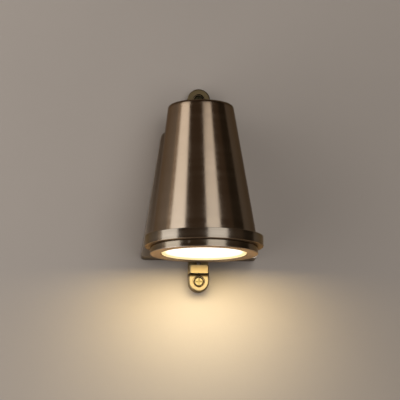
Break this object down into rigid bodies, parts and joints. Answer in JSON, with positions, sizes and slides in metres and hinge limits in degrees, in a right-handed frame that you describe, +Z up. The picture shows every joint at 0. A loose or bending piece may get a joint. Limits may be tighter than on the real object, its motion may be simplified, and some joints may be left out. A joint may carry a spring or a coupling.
{
  "type": "outdoor wall light",
  "caption": "Downward outdoor wall light: a leaning bronze cone with a back box, hung on a slim wall bracket, lit through a frosted lens in a screwed bezel.",
  "frame": {"origin": "midway between the two wall holes, on the wall plane", "axes": "+Z up, +Y into the wall, so the light stands out along -Y and +X is to the right as seen from the front"},
  "size_m": [0.0844, 0.1148, 0.1518],
  "materials": {
    "bronze": "brushed antique bronze",
    "steel": "plain",
    "plated_steel": "zinc plated",
    "brass": "plain",
    "reflector": "bright",
    "lamp_cover": "clear, warm when lit",
    "frosted_glass": "frosted, glowing warm white",
    "ceramic": "glazed",
    "terminal_plastic": "matte",
    "rubber": "matte"
  },
  "bodies": {
    "body": {"wall_bracket": "bronze", "wall_screws": "steel", "screw_washers": "rubber", "wall_gasket": "rubber", "housing": "bronze", "collar": "bronze", "locking_screw": "steel", "cable_grommet": "rubber", "carrier_ring": "plated_steel", "lamp_clip": "steel", "lamp_reflector": "reflector", "lamp_face": "lamp_cover", "lamp_base": "ceramic", "lamp_pins": "steel", "lampholder": "ceramic", "holder_strap": "plated_steel", "strap_screws": "steel", "holder_screws": "steel", "terminal_block": "terminal_plastic", "terminal_clamp_screws": "brass", "terminal_screw": "steel"},
    "seal": {"bezel_o_ring": "rubber"},
    "bezel": {"bezel": "bronze", "bezel_grub_screw": "steel", "lens_glass": "frosted_glass", "lens_gasket": "rubber", "lens_ring": "bronze"}
  },
  "joints": [
    {"name": "bezel_drop", "type": "slide", "parent": "body", "child": "seal", "axis": [0, 0, -1], "range_m": [0, 0.0045]},
    {"name": "bezel_unscrew", "type": "hinge", "parent": "seal", "child": "bezel", "pos_m": [0, -0.0508, -0.0545], "axis": [0, 0, -1], "range_deg": [0, 1080]}
  ],
  "couplings": [
    {"joint": "bezel_drop", "follows": "bezel_unscrew", "m_per_rad": 0.00023873}
  ]
}
